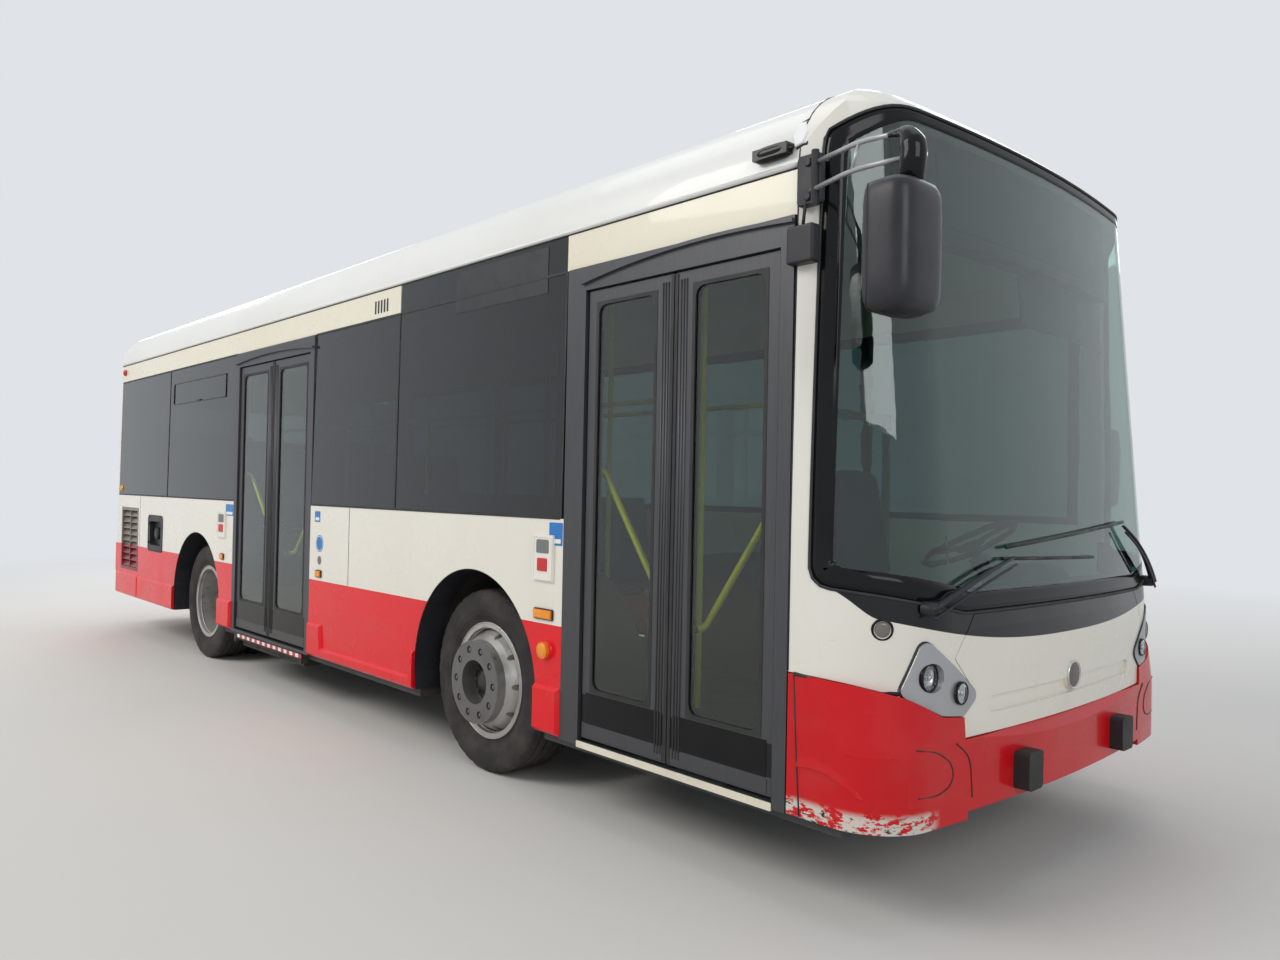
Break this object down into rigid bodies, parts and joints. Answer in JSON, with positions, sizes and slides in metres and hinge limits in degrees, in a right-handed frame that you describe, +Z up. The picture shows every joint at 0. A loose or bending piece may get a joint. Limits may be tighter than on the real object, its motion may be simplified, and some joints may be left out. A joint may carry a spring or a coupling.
{
  "type": "city bus",
  "caption": "Low-floor city bus with inward-gliding double doors on one side, steered front wheels, twin rear wheels and a lifting engine door.",
  "frame": {"origin": "on the ground under the middle of the bus's overall length and width", "axes": "+X forward, +Y to the left, +Z up"},
  "size_m": [9.36, 3.04, 3.0149],
  "materials": {
    "white_paint": "gloss",
    "cream_paint": "gloss",
    "red_paint": "gloss",
    "tinted_glass": "gloss",
    "clear_glass": "gloss",
    "lamp_glass": "gloss",
    "dark_anodised": "satin",
    "black_rubber": "matt",
    "tyre_rubber": "matt",
    "wheel_steel": "satin",
    "chassis_steel": "matt",
    "black_plastic": "matt",
    "grey_plastic": "matt",
    "seat_plastic": "matt",
    "floor_covering": "matt",
    "yellow_rail": "gloss",
    "orange_lens": "gloss"
  },
  "bodies": {
    "body": {"front_mask": "white_paint", "windscreen": "clear_glass", "front_flap": "white_paint", "headlamps": "lamp_glass", "front_bumper": "red_paint", "bump_stops": "black_rubber", "side_panels": "white_paint", "cream_bands": "cream_paint", "side_skirts": "red_paint", "window_panes": "tinted_glass", "window_posts": "black_plastic", "roof": "white_paint", "rear_mask": "white_paint", "rear_bumper": "red_paint", "engine": "chassis_steel", "floor": "floor_covering", "wheel_boxes": "grey_plastic", "chassis": "chassis_steel", "axles": "chassis_steel", "door_frames": "dark_anodised", "ramp_cassette": "dark_anodised", "dashboard": "black_plastic", "seats": "seat_plastic", "driver_seat": "grey_plastic", "driver_partition": "grey_plastic", "handrails": "yellow_rail", "mirrors": "black_plastic", "wipers": "black_plastic", "filler_recess": "black_plastic", "side_grille": "white_paint", "body_fittings": "orange_lens"},
    "engine_door": {"engine_door": "red_paint"},
    "steering_wheel": {"steering_wheel": "black_plastic"},
    "knuckle_left": {"knuckle_left": "chassis_steel"},
    "knuckle_right": {"knuckle_right": "chassis_steel"},
    "wheel_front_left": {"tyre_front_left": "tyre_rubber", "rim_front_left": "wheel_steel"},
    "wheel_front_right": {"tyre_front_right": "tyre_rubber", "rim_front_right": "wheel_steel"},
    "wheel_rear_left": {"tyre_rear_left": "tyre_rubber", "rim_rear_left": "wheel_steel"},
    "wheel_rear_right": {"tyre_rear_right": "tyre_rubber", "rim_rear_right": "wheel_steel"},
    "middle_door_rear_post": {"middle_door_rear_post": "dark_anodised"},
    "middle_door_rear_leaf": {"middle_door_rear_leaf": "dark_anodised", "middle_door_rear_glass": "tinted_glass"},
    "middle_door_front_post": {"middle_door_front_post": "dark_anodised"},
    "middle_door_front_leaf": {"middle_door_front_leaf": "dark_anodised", "middle_door_front_glass": "tinted_glass"},
    "front_door_rear_post": {"front_door_rear_post": "dark_anodised"},
    "front_door_rear_leaf": {"front_door_rear_leaf": "dark_anodised", "front_door_rear_glass": "tinted_glass"},
    "front_door_front_post": {"front_door_front_post": "dark_anodised"},
    "front_door_front_leaf": {"front_door_front_leaf": "dark_anodised", "front_door_front_glass": "tinted_glass"}
  },
  "joints": [
    {"name": "steer_left", "type": "hinge", "parent": "body", "child": "knuckle_left", "pos_m": [2.01, 0.925, 0.47], "axis": [0, 0, 1], "range_deg": [-40, 40]},
    {"name": "steer_right", "type": "hinge", "parent": "body", "child": "knuckle_right", "pos_m": [2.01, -0.925, 0.47], "axis": [0, 0, 1], "range_deg": [-40, 40]},
    {"name": "steering_wheel_turn", "type": "hinge", "parent": "body", "child": "steering_wheel", "pos_m": [3.78, 0.56, 1.23], "axis": [-0.5, 0, 0.866], "range_deg": [-720, 720]},
    {"name": "front_left_wheel_roll", "type": "hinge", "parent": "knuckle_left", "child": "wheel_front_left", "pos_m": [2.01, 0.999, 0.47], "axis": [0, 1, 0], "continuous": true},
    {"name": "front_right_wheel_roll", "type": "hinge", "parent": "knuckle_right", "child": "wheel_front_right", "pos_m": [2.01, -0.999, 0.47], "axis": [0, 1, 0], "continuous": true},
    {"name": "rear_left_wheel_roll", "type": "hinge", "parent": "body", "child": "wheel_rear_left", "pos_m": [-2.175, 0.844, 0.47], "axis": [0, 1, 0], "continuous": true},
    {"name": "rear_right_wheel_roll", "type": "hinge", "parent": "body", "child": "wheel_rear_right", "pos_m": [-2.175, -0.844, 0.47], "axis": [0, 1, 0], "continuous": true},
    {"name": "middle_door_rear_swing", "type": "hinge", "parent": "body", "child": "middle_door_rear_post", "pos_m": [-1.308, -1.154, 1.4], "axis": [0, 0, 1], "range_deg": [0, 80]},
    {"name": "middle_door_rear_fold", "type": "hinge", "parent": "middle_door_rear_post", "child": "middle_door_rear_leaf", "pos_m": [-0.9895, -1.154, 1.4], "axis": [0, 0, -1], "range_deg": [0, 160]},
    {"name": "middle_door_front_swing", "type": "hinge", "parent": "body", "child": "middle_door_front_post", "pos_m": [0.018, -1.154, 1.4], "axis": [0, 0, -1], "range_deg": [0, 80]},
    {"name": "middle_door_front_fold", "type": "hinge", "parent": "middle_door_front_post", "child": "middle_door_front_leaf", "pos_m": [-0.3005, -1.154, 1.4], "axis": [0, 0, 1], "range_deg": [0, 160]},
    {"name": "front_door_rear_swing", "type": "hinge", "parent": "body", "child": "front_door_rear_post", "pos_m": [2.861, -1.154, 1.4], "axis": [0, 0, 1], "range_deg": [0, 80]},
    {"name": "front_door_rear_fold", "type": "hinge", "parent": "front_door_rear_post", "child": "front_door_rear_leaf", "pos_m": [3.1345, -1.154, 1.4], "axis": [0, 0, -1], "range_deg": [0, 160]},
    {"name": "front_door_front_swing", "type": "hinge", "parent": "body", "child": "front_door_front_post", "pos_m": [4.007, -1.154, 1.4], "axis": [0, 0, -1], "range_deg": [0, 80]},
    {"name": "front_door_front_fold", "type": "hinge", "parent": "front_door_front_post", "child": "front_door_front_leaf", "pos_m": [3.7335, -1.154, 1.4], "axis": [0, 0, 1], "range_deg": [0, 160]},
    {"name": "engine_door_lift", "type": "hinge", "parent": "body", "child": "engine_door", "pos_m": [-4.61, 0, 1.443], "axis": [0, 1, 0], "range_deg": [0, 100]}
  ],
  "couplings": [
    {"joint": "steer_right", "follows": "steer_left", "ratio": 1},
    {"joint": "steering_wheel_turn", "follows": "steer_left", "ratio": 18},
    {"joint": "middle_door_rear_fold", "follows": "middle_door_rear_swing", "ratio": 2},
    {"joint": "middle_door_front_swing", "follows": "middle_door_rear_swing", "ratio": 1},
    {"joint": "middle_door_front_fold", "follows": "middle_door_rear_swing", "ratio": 2},
    {"joint": "front_door_rear_fold", "follows": "front_door_rear_swing", "ratio": 2},
    {"joint": "front_door_front_swing", "follows": "front_door_rear_swing", "ratio": 1},
    {"joint": "front_door_front_fold", "follows": "front_door_rear_swing", "ratio": 2}
  ]
}
